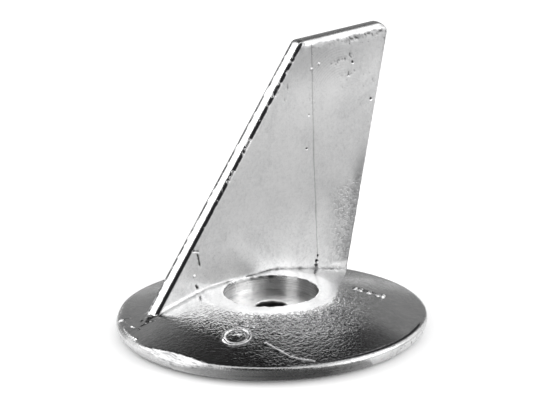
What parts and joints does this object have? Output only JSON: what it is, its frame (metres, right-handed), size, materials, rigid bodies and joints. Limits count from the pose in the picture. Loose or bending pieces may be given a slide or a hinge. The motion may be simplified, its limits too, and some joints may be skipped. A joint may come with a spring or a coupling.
{
  "type": "trim tab anode",
  "caption": "Round cast zinc anode disc with a swept fin and a recessed bolt hole, bolted under a gearcase to trim steering and waste in place of it.",
  "frame": {"origin": "where the bolt axis meets the disc's flat underside", "axes": "+Z along the bolt axis, from the flat underside towards the fin's tip; +X along the fin, towards its trailing edge"},
  "size_m": [0.1062, 0.092, 0.0806],
  "materials": {
    "cast_zinc": "bright as-cast",
    "insert_steel": "turned"
  },
  "bodies": {
    "root": {"anode_casting": "cast_zinc", "bolt_seat_insert": "insert_steel"}
  },
  "joints": []
}
